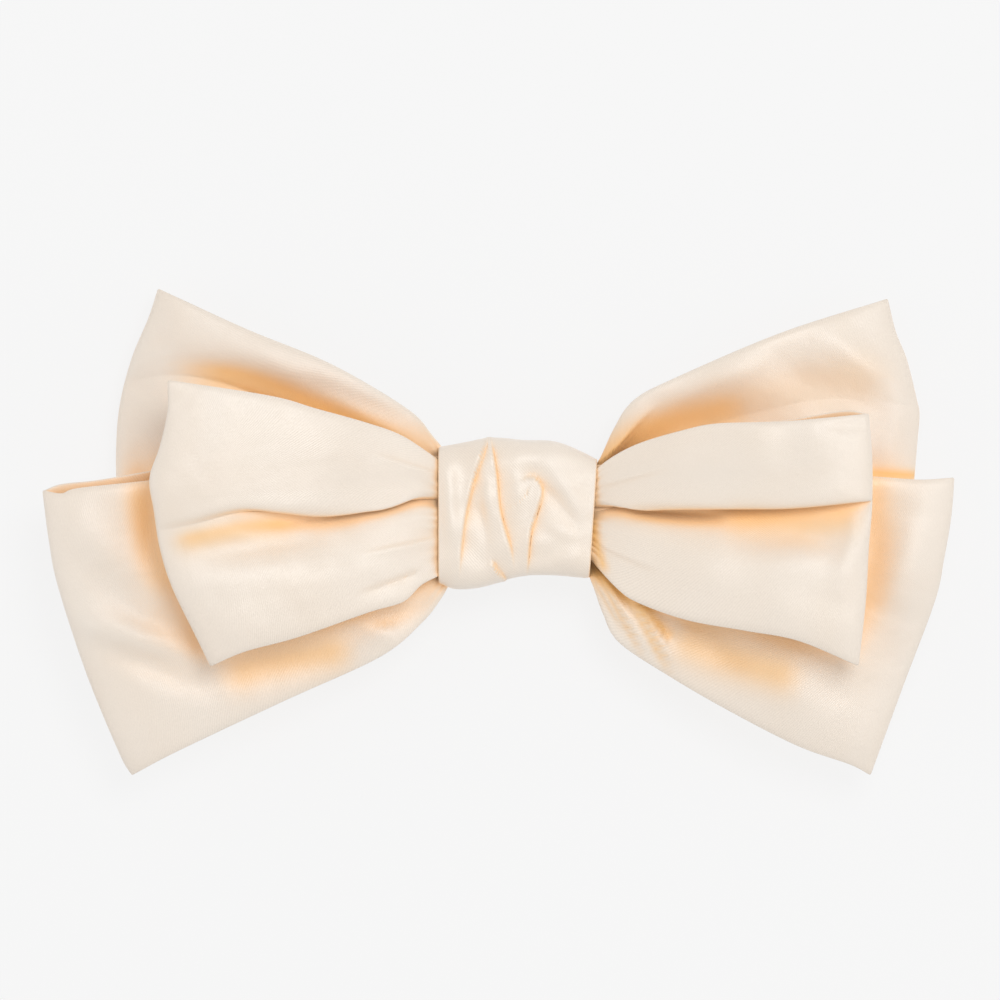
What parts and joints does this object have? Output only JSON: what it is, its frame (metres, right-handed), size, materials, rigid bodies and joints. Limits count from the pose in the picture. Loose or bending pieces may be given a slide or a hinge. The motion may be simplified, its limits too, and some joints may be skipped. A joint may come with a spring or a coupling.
{
  "type": "pre-made gift bow",
  "caption": "Layered satin gift bow with looped strips gathered under a satin knot, on a felt-backed adhesive foam pad with a peel-off liner.",
  "frame": {"origin": "middle of the release liner's outer face, on which the bow lies; it is on the knot's centre line", "axes": "+X along the bow to its right loops, +Y to the bow's top edge, +Z out of the side that shows"},
  "size_m": [0.2251, 0.1234, 0.0408],
  "materials": {
    "satin": "cream polyester satin with a soft sheen",
    "thread": "cream polyester sewing thread",
    "felt": "matted cream felt",
    "foam": "white closed-cell foam with clear adhesive",
    "liner": "silicone-coated white release paper"
  },
  "bodies": {
    "bow": {"upper_bow": "satin", "lower_bow": "satin", "front_bow": "satin", "knot_wrap": "satin", "upper_gather_thread": "thread", "lower_gather_thread": "thread", "front_gather_thread": "thread", "binding_thread": "thread", "wrap_stitches": "thread", "felt_patch": "felt", "foam_pad": "foam"},
    "liner": {"release_liner": "liner"}
  },
  "joints": [
    {"name": "liner_peel", "type": "slide", "parent": "bow", "child": "liner", "axis": [0, 0, -1], "range_m": [0, 0.03]}
  ]
}
